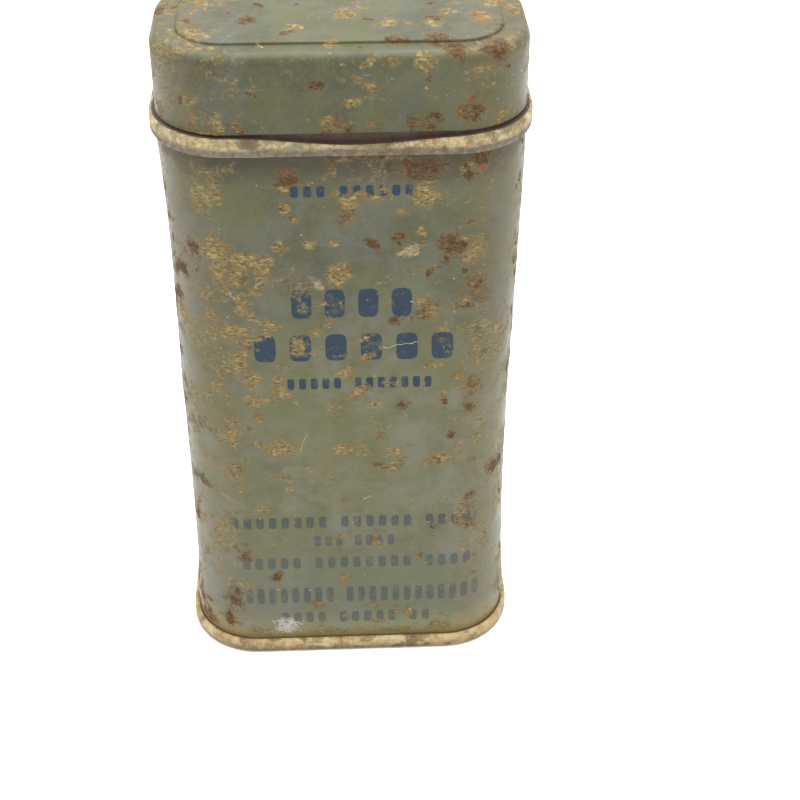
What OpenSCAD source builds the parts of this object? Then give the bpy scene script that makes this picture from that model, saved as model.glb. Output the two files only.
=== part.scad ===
// Flat pocket powder tin: a lock-seamed tinplate body with rounded corners, a double-seamed
// bottom, a double-seamed neck ring with a pressed-in sifter plate, and a slip-on lid.
// The tin stands on the bottom seam, centred on the origin, with its front face towards -Y.

/* [Body] */
// Width across the body's outer faces
body_w = 57; // [48:1:70]
// Depth across the body's outer faces
body_d = 32; // [28:1:40]
// Radius of the body's upright corners, on the outer face
corner_r = 11.5; // [9:0.5:12]
// Height from the floor to the crest of the top seam
body_h = 104; // [70:1:130]
// Thickness of the tinplate
sheet = 0.3; // [0.25:0.01:0.35]

/* [Seams] */
// Air left between two folded plies of sheet
ply_gap = 0.05; // [0.03:0.01:0.08]
// Height of the double seam at the top
top_seam_h = 3; // [2.6:0.1:3.4]
// Height of the double seam at the bottom
bottom_seam_h = 2.6; // [2.4:0.1:3.2]
// Thickness of the sealing compound over the body's flange
compound_t = 0.15; // [0.1:0.01:0.2]
// Inner radius of the fold at a seam's crest
crest_fold_r = 0.2; // [0.15:0.05:0.3]
// Width of the interlocked part of the side seam
lock_w = 3; // [2.5:0.1:4]

/* [Bottom] */
// Depth of the bottom panel inside its seam
countersink = 3.4; // [3:0.1:4.5]
// Drop of the bottom's stiffening step
step_drop = 0.7; // [0.4:0.1:1]

/* [Neck and sifter] */
// Height of the neck above the top seam
neck_rise = 12; // [8:0.5:16]
// Width of the ledge that turns in at the top of the neck
ledge_w = 2.4; // [2:0.1:3.5]
// Depth of the perforated panel below the ledge's top
sifter_recess = 1.8; // [1.5:0.1:3]
// Diameter of one sifter hole
hole_d = 1.6; // [1.2:0.1:1.8]
// Distance between neighbouring holes in a row
hole_pitch = 4.4; // [3.5:0.1:5]
// Holes in the middle row
middle_row = 7; // [5:2:9]

/* [Lid] */
// Gap between the lid's skirt and the neck
lid_fit = 0.1; // [0.08:0.01:0.15]
// Gap that the closed lid leaves above the top seam
lid_gap = 0.8; // [0.5:0.1:1.5]
// Outer radius where the lid's skirt turns into its top
lid_edge_r = 1.8; // [1.5:0.1:2.5]
// Height of the raised panel on the lid's top
lid_panel_rise = 0.6; // [0.3:0.1:1]

/* [Hidden] */
$fn = 96;

// Seam profiles are drawn in a plane where x runs outwards from the body's outer face and
// y runs from the seam's crest into the seam. Each ply is named by the x of its middle.
ply = sheet + ply_gap;
wall_x = -sheet / 2;
cover_hook_x = wall_x + ply;
body_hook_x = wall_x + 2 * ply;
cover_wall_x = wall_x + 3 * ply;
chuck_wall_x = wall_x - ply;
fold_r = ply + sheet / 2;                       // outer radius of a fold that spans one ply
flange_y = sheet + compound_t + fold_r;         // centre of the body flange's fold
crest_r = crest_fold_r + sheet;                 // outer radius of the cover's folds

// The straight runs of the plan end at the corner centres.
corner_x = body_w / 2 - corner_r;
corner_y = body_d / 2 - corner_r;

neck_top = body_h + neck_rise;
neck_face = chuck_wall_x + sheet / 2;           // the neck's outer face, as an x in a profile
neck_edge_r = lid_edge_r - sheet - 0.2;         // outer radius of the neck's top edge
ledge_inner = neck_face - neck_edge_r - ledge_w;
plug_gap = 0.1;                                 // air round the sifter plate's plug wall
plug_face = ledge_inner - plug_gap;             // outer face of the plug wall
dish_fold_r = 0.3;                              // inner radius where the plug wall meets the panel
rib_r = 0.25;                                   // radius of the rib that snaps under the ledge
seat_gap = 0.05;                                // air between the seated lid and the sifter plate
lid_face = neck_face + lid_fit + sheet;         // the lid's outer face
lid_bottom = body_h + lid_gap;
lid_shoulder = neck_top + sheet + seat_gap + sheet;
lock_y0 = bottom_seam_h + 3;
lock_y1 = body_h - top_seam_h - 3;
row_count = 5;

// ---- Building blocks ----

// The tin's plan, grown outwards by a distance that is negative inside the body
module plan(grow = 0) {
    r = corner_r + grow;
    square([2 * corner_x, 2 * (corner_y + r)], center = true);
    square([2 * (corner_x + r), 2 * corner_y], center = true);
    for (x = [-corner_x, corner_x], y = [-corner_y, corner_y])
        translate([x, y]) circle(r);
}

// A wall that follows the plan between two distances from the body's outer face
module wall(inner, outer, z0, z1) {
    translate([0, 0, z0]) linear_extrude(z1 - z0) difference() {
        plan(outer);
        plan(inner);
    }
}

// Sweeps a profile round the plan: x outwards from the body's outer face, y upwards
module sweep() {
    for (side = [0:3]) {
        across = side % 2 == 0 ? corner_x : corner_y;
        along = side % 2 == 0 ? corner_y : corner_x;
        rotate(90 * side) {
            translate([across + corner_r, 0, 0]) rotate([90, 0, 0])
                linear_extrude(2 * along, center = true) children();
            translate([across, along, 0]) rotate_extrude(angle = 90)
                translate([corner_r, 0]) children();
        }
    }
}

// Turns a seam profile over, so that its crest is on top of the body
module at_top() {
    translate([0, body_h]) mirror([0, 1]) children();
}

// A straight ply along the seam
module leg(x, y0, y1) {
    translate([x - sheet / 2, y0]) square([sheet, y1 - y0]);
}

// A straight ply across the seam, with its outer side at y
module bar(x0, x1, y) {
    translate([x0, y]) square([x1 - x0, sheet]);
}

// A half-turn fold between two plies. It bulges towards -y, or +y when up is true
module half_fold(x, y, up = false) {
    translate([x, y]) difference() {
        circle(fold_r);
        circle(fold_r - sheet);
        translate([-fold_r, up ? -fold_r : 0]) square([2 * fold_r, fold_r]);
    }
}

// A quarter-turn fold in one quadrant, given by the signs of x and y
module quarter_fold(x, y, sign_x, sign_y, r) {
    translate([x, y]) intersection() {
        difference() {
            circle(r);
            circle(r - sheet);
        }
        translate([min(sign_x, 0) * r, min(sign_y, 0) * r]) square(r);
    }
}

// ---- Double seams ----

// The body's flange: the wall folds outwards and ends in the body hook
module flange_profile(seam_h) {
    half_fold(cover_hook_x, flange_y);
    leg(body_hook_x, flange_y, seam_h - fold_r);
}

// The cover's outer wall and its hook, which catches the body hook
module cover_hook_profile(seam_h) {
    crest_x = cover_wall_x + sheet / 2 - crest_r;
    quarter_fold(crest_x, crest_r, 1, -1, crest_r);
    leg(cover_wall_x, crest_r, seam_h - fold_r);
    half_fold(body_hook_x, seam_h - fold_r, up = true);
    leg(cover_hook_x, flange_y, seam_h - fold_r);
}

// Sealing compound between the cover's crest and the body's flange
module compound_profile() {
    difference() {
        translate([-sheet / 2, sheet]) square([2 * ply, compound_t + 0.2]);
        translate([cover_hook_x, flange_y]) circle(fold_r);
    }
}

// ---- Side seam ----

// Folds of the side seam, seen from above on the -X wall: x runs inwards from the outer face
// and y runs along the wall. One edge of the sheet carries on level and folds back. The other
// edge steps inwards, passes behind the first and folds into it.
step_y = lock_w / 2 + fold_r + 0.1;
ramp_y = step_y + 1.2;

module lock_fold(y, up) {
    translate([ply + sheet / 2 + (up ? 0 : ply), y]) difference() {
        circle(fold_r);
        circle(fold_r - sheet);
        translate([-fold_r, up ? -fold_r : 0]) square([2 * fold_r, fold_r]);
    }
}

module lock_profile() {
    half = lock_w / 2;
    lock_fold(half, up = true);
    translate([2 * ply, 0.3 - half]) square([sheet, lock_w - 0.3]);
    lock_fold(-half, up = false);
    translate([ply, -half]) square([sheet, lock_w - 0.3]);
    translate([3 * ply, -half]) square([sheet, half + step_y]);
    polygon([[3 * ply, step_y], [3 * ply + sheet, step_y], [sheet, ramp_y + 0.12], [0, ramp_y]]);
}

// Solder that fills the groove between the level edge and the stepped edge
module solder_profile() {
    difference() {
        polygon([
            [0.05, lock_w / 2], [3 * ply, lock_w / 2],
            [3 * ply, step_y], [0.05, ramp_y - 0.05]
        ]);
        translate([ply + sheet / 2, lock_w / 2]) circle(fold_r);
        lock_profile();
    }
}

// ---- Sub-parts ----

// The lithographed body: a sheet bent to the plan, hooked to itself up one narrow side
module body_shell() {
    color("darkolivegreen") {
        wall(-sheet, 0, flange_y, lock_y0);
        wall(-sheet, 0, lock_y1, body_h - flange_y);
        translate([0, 0, lock_y0]) linear_extrude(lock_y1 - lock_y0) {
            difference() {
                plan(0);
                plan(-sheet);
                translate([-body_w / 2 - 1, lock_w / 2]) square([2, ramp_y - lock_w / 2]);
            }
            translate([-body_w / 2, 0]) lock_profile();
        }
        sweep() flange_profile(bottom_seam_h);
        sweep() at_top() flange_profile(top_seam_h);
    }
}

module side_seam_solder() {
    color("lightgray") translate([-body_w / 2, 0, lock_y0])
        linear_extrude(lock_y1 - lock_y0) solder_profile();
}

// The drawn neck: seamed onto the body, with a ledge at the top that takes the sifter plate
module neck_ring() {
    fold_x = chuck_wall_x - sheet / 2 + crest_r;
    color("olivedrab") {
        sweep() {
            at_top() {
                cover_hook_profile(top_seam_h);
                bar(fold_x, cover_wall_x + sheet / 2 - crest_r, 0);
                quarter_fold(fold_x, -crest_fold_r, -1, 1, crest_r);
            }
            translate([neck_face - sheet, body_h + crest_fold_r])
                square([sheet, neck_rise - crest_fold_r - neck_edge_r]);
            quarter_fold(neck_face - neck_edge_r, neck_top - neck_edge_r, 1, 1, neck_edge_r);
            bar(ledge_inner, neck_face - neck_edge_r, neck_top - sheet);
        }
    }
}

// Rows of sifter holes, staggered, and one hole shorter for each row away from the middle
module sifter_holes() {
    for (row = [0:row_count - 1]) {
        from_middle = row - (row_count - 1) / 2;
        count = middle_row - abs(from_middle);
        for (i = [0:count - 1])
            translate([
                (i - (count - 1) / 2) * hole_pitch,
                from_middle * hole_pitch * sin(60),
                neck_top - sifter_recess - 2 * sheet
            ]) cylinder(d = hole_d, h = 3 * sheet);
    }
}

// The rib round the plug wall that holds the sifter plate under the neck's ledge
module snap_rib() {
    translate([plug_face, neck_top - sheet - rib_r - 0.05]) difference() {
        circle(rib_r);
        translate([-2 * rib_r, -rib_r]) square([2 * rib_r - 0.1, 2 * rib_r]);
    }
}

// The sifter plate: a shallow pressed dish that plugs the neck and hangs on its ledge
module sifter_plate() {
    dish_r = dish_fold_r + sheet;
    panel_z = neck_top - sifter_recess;         // the panel's upper face
    color("silver") difference() {
        union() {
            sweep() {
                bar(plug_face + plug_gap, plug_face + ledge_w - 0.3, neck_top);
                quarter_fold(plug_face + plug_gap, neck_top - plug_gap, -1, 1, plug_gap + sheet);
                translate([plug_face - sheet, panel_z + dish_fold_r])
                    square([sheet, sifter_recess - dish_fold_r - plug_gap]);
                snap_rib();
                quarter_fold(plug_face - dish_r, panel_z + dish_fold_r, 1, -1, dish_r);
                bar(plug_face - dish_r - 1, plug_face - dish_r, panel_z - sheet);
            }
            translate([0, 0, panel_z - sheet]) linear_extrude(sheet) plan(plug_face - dish_r - 0.5);
        }
        sifter_holes();
    }
}

module top_seam_compound() {
    color("tan") sweep() at_top() compound_profile();
}

// The stamped bottom: countersunk inside its seam, with a stiffening step round the panel
module bottom_end() {
    crest_in = chuck_wall_x - sheet / 2 + crest_r;
    panel_fold_x = chuck_wall_x - sheet / 2 - crest_fold_r;
    step_x = panel_fold_x - 2;
    color("goldenrod") {
        sweep() {
            cover_hook_profile(bottom_seam_h);
            bar(crest_in, cover_wall_x + sheet / 2 - crest_r, 0);
            quarter_fold(crest_in, crest_r, -1, -1, crest_r);
            leg(chuck_wall_x, crest_r, countersink - crest_fold_r);
            quarter_fold(panel_fold_x, countersink - crest_fold_r, 1, 1, crest_r);
            bar(step_x, panel_fold_x, countersink);
            translate([step_x, countersink - step_drop]) square([sheet, step_drop + sheet]);
            bar(step_x - 1, step_x, countersink - step_drop);
        }
        translate([0, 0, countersink - step_drop]) linear_extrude(sheet) plan(step_x - 0.5);
    }
}

module bottom_seam_compound() {
    color("tan") sweep() compound_profile();
}

// The drawn lid: a skirt that slides over the neck, and a top with a raised panel
module lid() {
    fold_x = lid_face - lid_edge_r;
    step_x = fold_x - 2.5;
    color("darkolivegreen") {
        sweep() {
            translate([lid_face - sheet, lid_bottom])
                square([sheet, lid_shoulder - lid_edge_r - lid_bottom]);
            quarter_fold(fold_x, lid_shoulder - lid_edge_r, 1, 1, lid_edge_r);
            bar(step_x, fold_x, lid_shoulder - sheet);
            translate([step_x, lid_shoulder - sheet]) square([sheet, lid_panel_rise + sheet]);
            bar(step_x - 1, step_x, lid_shoulder + lid_panel_rise - sheet);
        }
        translate([0, 0, lid_shoulder + lid_panel_rise - sheet])
            linear_extrude(sheet) plan(step_x - 0.5);
    }
}

body_shell();
side_seam_solder();
neck_ring();
sifter_plate();
top_seam_compound();
bottom_end();
bottom_seam_compound();
lid();
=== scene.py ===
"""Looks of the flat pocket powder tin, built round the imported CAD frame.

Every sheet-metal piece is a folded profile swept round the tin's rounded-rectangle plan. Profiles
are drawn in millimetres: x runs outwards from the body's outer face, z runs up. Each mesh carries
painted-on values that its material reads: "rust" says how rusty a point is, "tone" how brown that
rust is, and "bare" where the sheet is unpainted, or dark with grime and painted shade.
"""

import math
import random

import bmesh
import bpy
import numpy as np
from mathutils import Matrix, Vector, noise


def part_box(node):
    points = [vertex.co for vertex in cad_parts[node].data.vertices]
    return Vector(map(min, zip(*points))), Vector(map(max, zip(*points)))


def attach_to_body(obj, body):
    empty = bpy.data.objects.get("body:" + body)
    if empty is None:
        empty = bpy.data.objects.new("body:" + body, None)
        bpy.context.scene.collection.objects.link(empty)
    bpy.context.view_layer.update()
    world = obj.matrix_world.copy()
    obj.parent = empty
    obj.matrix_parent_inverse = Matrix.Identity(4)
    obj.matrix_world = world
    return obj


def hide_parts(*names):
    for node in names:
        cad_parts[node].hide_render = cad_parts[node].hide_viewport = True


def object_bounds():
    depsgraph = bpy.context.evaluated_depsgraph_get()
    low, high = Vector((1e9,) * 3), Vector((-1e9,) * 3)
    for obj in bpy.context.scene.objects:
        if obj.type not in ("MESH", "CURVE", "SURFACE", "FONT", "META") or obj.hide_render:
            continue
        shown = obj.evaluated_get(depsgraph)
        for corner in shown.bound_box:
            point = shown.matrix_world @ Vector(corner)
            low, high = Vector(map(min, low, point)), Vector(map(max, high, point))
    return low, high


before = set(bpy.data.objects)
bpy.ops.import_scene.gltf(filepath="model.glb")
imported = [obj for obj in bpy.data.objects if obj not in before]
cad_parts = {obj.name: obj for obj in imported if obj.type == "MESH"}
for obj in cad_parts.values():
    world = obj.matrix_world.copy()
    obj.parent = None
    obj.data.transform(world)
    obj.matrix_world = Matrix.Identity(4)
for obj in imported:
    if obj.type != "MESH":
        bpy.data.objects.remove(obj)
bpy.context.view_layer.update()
MM = 0.001


# ---- Sizes, in millimetres, from the CAD frame ----


def box_mm(node):
    lo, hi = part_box(node)
    return [v / MM for v in lo], [v / MM for v in hi]


SHEET = 0.3
PLY = 0.35  # one sheet and the air beside it
SEAM_PROUD = 3 * PLY
HALF_W = box_mm("bottom_end")[1][0] - SEAM_PROUD
HALF_D = box_mm("bottom_end")[1][1] - SEAM_PROUD
CORNER_R = 11.5
CREST_Z = box_mm("top_seam_compound")[1][2] + SHEET  # the top seam's crest
TOP_SEAM_Z = box_mm("neck_ring")[0][2]
NECK_TOP = box_mm("neck_ring")[1][2]
LID_BOTTOM = box_mm("lid")[0][2]
LID_TOP = box_mm("lid")[1][2]
BOTTOM_SEAM_H = 2.6
LOCK_Z = [v[2] for v in box_mm("side_seam_solder")]

WALL_X = -SHEET / 2
COVER_HOOK_X = WALL_X + PLY
BODY_HOOK_X = WALL_X + 2 * PLY
COVER_WALL_X = WALL_X + 3 * PLY
CHUCK_X = WALL_X - PLY
FLANGE_Y = 0.95  # from a crest to the centre of the body flange's fold
CREST_R = 0.35  # of a crest fold, at mid-sheet
LID_X = -0.1  # the lid's skirt, at mid-sheet
LID_EDGE_R = 1.65
LID_PANEL_RISE = 0.6
LEDGE_W = 2.4  # the ledge that turns in at the neck's top
PANEL_STEP_IN = 2.35  # how far inside its fold a bottom's or lid's panel has its step
PANEL_STEP_R = 0.3  # the folds of that step, at mid-sheet

RING_STEP = 0.46  # mesh spacing round the plan
BODY_RING_STEP = 0.48
LINING_RING_STEP = 1.2
PATCH_RING_STEP = 2.0  # of the places that random rust is put at


# ---- The plan ----

CORNER_X = HALF_W - CORNER_R
CORNER_Y = HALF_D - CORNER_R
INNER = -8.0  # profiles further in than this close towards the plan's middle line


def along(a, b, step):
    count = max(1, round(abs(b - a) / step))
    return [a + (b - a) * i / count for i in range(count)]


def plan_ring(step, groove=False):
    """Points on the body's outer face and their outward normals, anticlockwise from the right side.

    With groove, the left side has extra points where the side seam's folds are.
    """
    rows = []
    arc_steps = max(6, round(CORNER_R * math.pi / 2 / step))

    def corner(cx, cy, start):
        for i in range(arc_steps):
            a = math.radians(start + 90 * i / arc_steps)
            n = (math.cos(a), math.sin(a))
            rows.append((cx + CORNER_R * n[0], cy + CORNER_R * n[1], *n))

    def side(points, nx, ny):
        rows.extend((px, py, nx, ny) for px, py in points)

    side([(HALF_W, y) for y in along(-CORNER_Y, CORNER_Y, step)], 1, 0)
    corner(CORNER_X, CORNER_Y, 0)
    side([(x, HALF_D) for x in along(CORNER_X, -CORNER_X, step)], 0, 1)
    corner(-CORNER_X, CORNER_Y, 90)
    left = along(CORNER_Y, -CORNER_Y, step)
    if groove:
        left = along(CORNER_Y, 3.6, step) + along(3.6, 1.2, 0.15) + along(1.2, -CORNER_Y, step)
    side([(-HALF_W, y) for y in left], -1, 0)
    corner(-CORNER_X, -CORNER_Y, 180)
    side([(x, -HALF_D) for x in along(-CORNER_X, CORNER_X, step)], 0, -1)
    corner(CORNER_X, -CORNER_Y, 270)
    return np.array(rows)


def place(ring, profile):
    """Points of each profile point at each station of the ring, as an array (profile, ring, 3)."""
    x = np.maximum(profile[:, 0], INNER)[:, None, None]
    xy = ring[None, :, :2] + x * ring[None, :, 2:]
    inward = np.clip((INNER - profile[:, 0]) / (HALF_D + INNER), 0, 1)[:, None]
    reach = HALF_W - HALF_D
    middle = np.clip(xy[..., 0], -reach, reach)
    px = xy[..., 0] + (middle - xy[..., 0]) * inward
    py = xy[..., 1] * (1 - inward)
    pz = np.broadcast_to(profile[:, 1:2], px.shape)
    return np.stack([px, py, pz], axis=-1)


# ---- Profiles ----


def arc(cx, cz, r, start, end, count=10):
    """Points on an arc, from one angle to another in degrees, ends included."""
    angles = [math.radians(start + (end - start) * i / count) for i in range(count + 1)]
    return [(cx + r * math.cos(a), cz + r * math.sin(a)) for a in angles]


def line(x0, z0, x1, z1, step):
    """Points from one place towards another, with the far end left out."""
    count = max(1, round(math.hypot(x1 - x0, z1 - z0) / step))
    return [(x0 + (x1 - x0) * i / count, z0 + (z1 - z0) * i / count) for i in range(count)]


def offset(points, distance):
    """The points moved sideways, to the left of the way they run."""
    p = np.array(points)
    keep = np.r_[True, np.hypot(*(p[1:] - p[:-1]).T) > 1e-6]
    p = p[keep]
    t = np.gradient(p, axis=0)
    t /= np.linalg.norm(t, axis=1, keepdims=True)
    return p + distance * np.stack([-t[:, 1], t[:, 0]], axis=1)


def cut_edge(a, b, count=4):
    """A rounded raw edge between the two faces of a sheet, without its end points."""
    a, b = np.array(a), np.array(b)
    mid, half = (a + b) / 2, (a - b) / 2
    out = np.array([-half[1], half[0]])
    angles = np.linspace(0, math.pi, count + 2)[1:-1]
    return np.array([mid + half * math.cos(q) + out * math.sin(q) for q in angles])


def folded_sheet(outer, inner=None, open_end=False):
    """The outline of a sheet from its middle line, and which of its points are on the right face.

    The line runs so that the face seen most is on its right. inner is the same line with wider
    spacing, for the other face. An open end meets itself at the middle of the plan, and any other
    end is a rounded raw edge.
    """
    left = offset(inner or outer, SHEET / 2)
    right = offset(outer, -SHEET / 2)[::-1]
    parts = [left]
    if not open_end:
        parts.append(cut_edge(left[-1], right[0]))
    parts.append(right)
    parts.append(cut_edge(right[-1], left[0]))
    outline = np.concatenate(parts)
    return outline, np.arange(len(outline)) >= len(left)


def body_line(step):
    top = CREST_Z - FLANGE_Y
    return (
        line(BODY_HOOK_X, BOTTOM_SEAM_H - 0.5, BODY_HOOK_X, FLANGE_Y, step)
        + arc(COVER_HOOK_X, FLANGE_Y, PLY, 0, -180)
        + line(WALL_X, FLANGE_Y, WALL_X, top, step)[1:]
        + arc(COVER_HOOK_X, top, PLY, 180, 0)
        + [(BODY_HOOK_X, TOP_SEAM_Z + 0.5)]
    )


def neck_line(step):
    top_r = 1.15
    fold_x = CHUCK_X - top_r
    crest, ledge = CREST_Z - SHEET / 2, NECK_TOP - SHEET / 2
    return (
        line(COVER_HOOK_X, CREST_Z - FLANGE_Y, COVER_HOOK_X, TOP_SEAM_Z + 0.5, step)
        + arc(BODY_HOOK_X, TOP_SEAM_Z + 0.5, PLY, 180, 360)
        + line(COVER_WALL_X, TOP_SEAM_Z + 0.5, COVER_WALL_X, CREST_Z - 0.5, 0.2)[1:]
        + arc(COVER_WALL_X - CREST_R, CREST_Z - 0.5, CREST_R, 0, 90)
        + line(COVER_WALL_X - CREST_R, crest, CHUCK_X + CREST_R, crest, 0.2)[1:]
        + arc(CHUCK_X + CREST_R, CREST_Z + 0.2, CREST_R, -90, -180)
        + line(CHUCK_X, CREST_Z + 0.2, CHUCK_X, NECK_TOP - 1.3, step)[1:]
        + arc(fold_x, NECK_TOP - 1.3, top_r, 0, 90)
        + line(fold_x, ledge, fold_x - LEDGE_W, ledge, step)[1:]
        + [(fold_x - LEDGE_W, ledge)]
    )


def bottom_line(step):
    hook_z = BOTTOM_SEAM_H - 0.5
    panel = 3.55  # the panel's mid-sheet height, beside its fold
    step_x = CHUCK_X - PANEL_STEP_IN
    r = PANEL_STEP_R
    low = panel - 0.7
    return (
        line(COVER_HOOK_X, FLANGE_Y, COVER_HOOK_X, hook_z, 0.3)
        + arc(BODY_HOOK_X, hook_z, PLY, 180, 0)
        + line(COVER_WALL_X, hook_z, COVER_WALL_X, 0.5, 0.2)[1:]
        + arc(COVER_WALL_X - CREST_R, 0.5, CREST_R, 0, -90)
        + line(COVER_WALL_X - CREST_R, SHEET / 2, CHUCK_X + CREST_R, SHEET / 2, 0.2)[1:]
        + arc(CHUCK_X + CREST_R, 0.5, CREST_R, 270, 180)
        + line(CHUCK_X, 0.5, CHUCK_X, 3.2, 0.3)[1:]
        + arc(CHUCK_X - CREST_R, 3.2, CREST_R, 0, 90)
        + line(CHUCK_X - CREST_R, panel, step_x + r, panel, 0.3)[1:]
        + arc(step_x + r, panel - r, r, 90, 180, 5)
        + arc(step_x - r, low + r, r, 0, -90, 5)
        + line(step_x - r, low, -HALF_D, low, step)[1:]
        + [(-HALF_D, low)]
    )


def lid_line(step):
    shoulder = LID_TOP - LID_PANEL_RISE - SHEET / 2
    fold_x = LID_X - LID_EDGE_R
    step_x = fold_x - PANEL_STEP_IN
    r = PANEL_STEP_R
    return (
        line(LID_X, LID_BOTTOM, LID_X, shoulder - LID_EDGE_R, step)
        + arc(fold_x, shoulder - LID_EDGE_R, LID_EDGE_R, 0, 90, 14)
        + line(fold_x, shoulder, step_x + r, shoulder, 0.3)[1:]
        + arc(step_x + r, shoulder + r, r, -90, -180, 5)
        + arc(step_x - r, shoulder + r, r, 0, 90, 5)
        + line(step_x - r, shoulder + LID_PANEL_RISE, -HALF_D, shoulder + LID_PANEL_RISE, step)[1:]
        + [(-HALF_D, shoulder + LID_PANEL_RISE)]
    )


def compound_outline():
    """Lining between a cover's crest and the body's flange, measured from the crest."""
    under = arc(COVER_HOOK_X, FLANGE_Y, 0.5, 225, 315, 8)
    low = SHEET + 0.01
    return np.array([(-0.1, low), (0.5, low), *under[::-1]])


# ---- How the sheet has been pushed about ----


def ease(t):
    t = np.clip(t, 0, 1)
    return t * t * (3 - 2 * t)


def waves(points, size, seed):
    """Smooth noise from -1 to 1 at each point, with features of about this size."""
    shift = Vector((seed * 17.3, seed * 5.1, seed * 9.7))
    flat = points.reshape(-1, 3)
    values = [noise.noise(Vector(p) / size + shift) for p in flat]
    return np.array(values).reshape(points.shape[:-1])


# The body's walls, drawn in between the seams: how far out they stand at each height, and how far
# the section has leaned to the right.
WAIST = [
    (2.8, 0.0, 0.0),
    (5.0, 0.2, 0.08),
    (9.0, 0.05, 0.1),
    (15.0, -0.35, 0.1),
    (24.0, -0.5, 0.05),
    (38.0, -0.58, -0.1),
    (50.0, -0.52, -0.15),
    (62.0, -0.4, 0.05),
    (74.0, -0.32, 0.2),
    (86.0, -0.15, 0.2),
    (95.0, 0.05, 0.12),
    (99.0, 0.15, 0.0),
    (100.9, 0.0, 0.0),
]
PRY_WIDTH = 20.0  # half the width of the dent left by a lever under the lid
PRY_X = 2.0
PRY_DROP = 1.35
PRY_IN = 0.18  # how far the pried seam also moves inwards
UNEVEN = 0.16  # how far the walls wander from flat, and over what distance
UNEVEN_SIZE = 17.0


def pry(points):
    """From 0 to 1, how strongly the front of the top seam is bent by the lever."""
    across = ease(1 - np.abs(points[..., 0] - PRY_X) / PRY_WIDTH)
    front = ease((-points[..., 1] - HALF_D + 4) / 3)
    z = points[..., 2] - CREST_Z
    return across * front * ease((z + 2.6) / 2.4) * ease((2.0 - z) / 1.6)


def push(points, ring, walls):
    """Draws in the walls, makes them slightly uneven and bends the pried front of the seam."""
    z = points[..., 2]
    out = np.concatenate([ring[:, 2:], np.zeros((len(ring), 1))], axis=1)[None]
    if walls:
        high, stand, lean = np.array(WAIST).T
        free = ease((z - BOTTOM_SEAM_H - 0.3) / 9) * ease((TOP_SEAM_Z - 0.3 - z) / 7)
        uneven = free * UNEVEN * waves(points * (1, 1, 0.6), UNEVEN_SIZE, 1)
        points = points + (np.interp(z, high, stand) + uneven)[..., None] * out
        points[..., 0] += np.interp(z, high, lean)
    bent = pry(points)
    return points + bent[..., None] * np.array([0.0, PRY_IN, -PRY_DROP])


# ---- Rust ----

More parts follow.
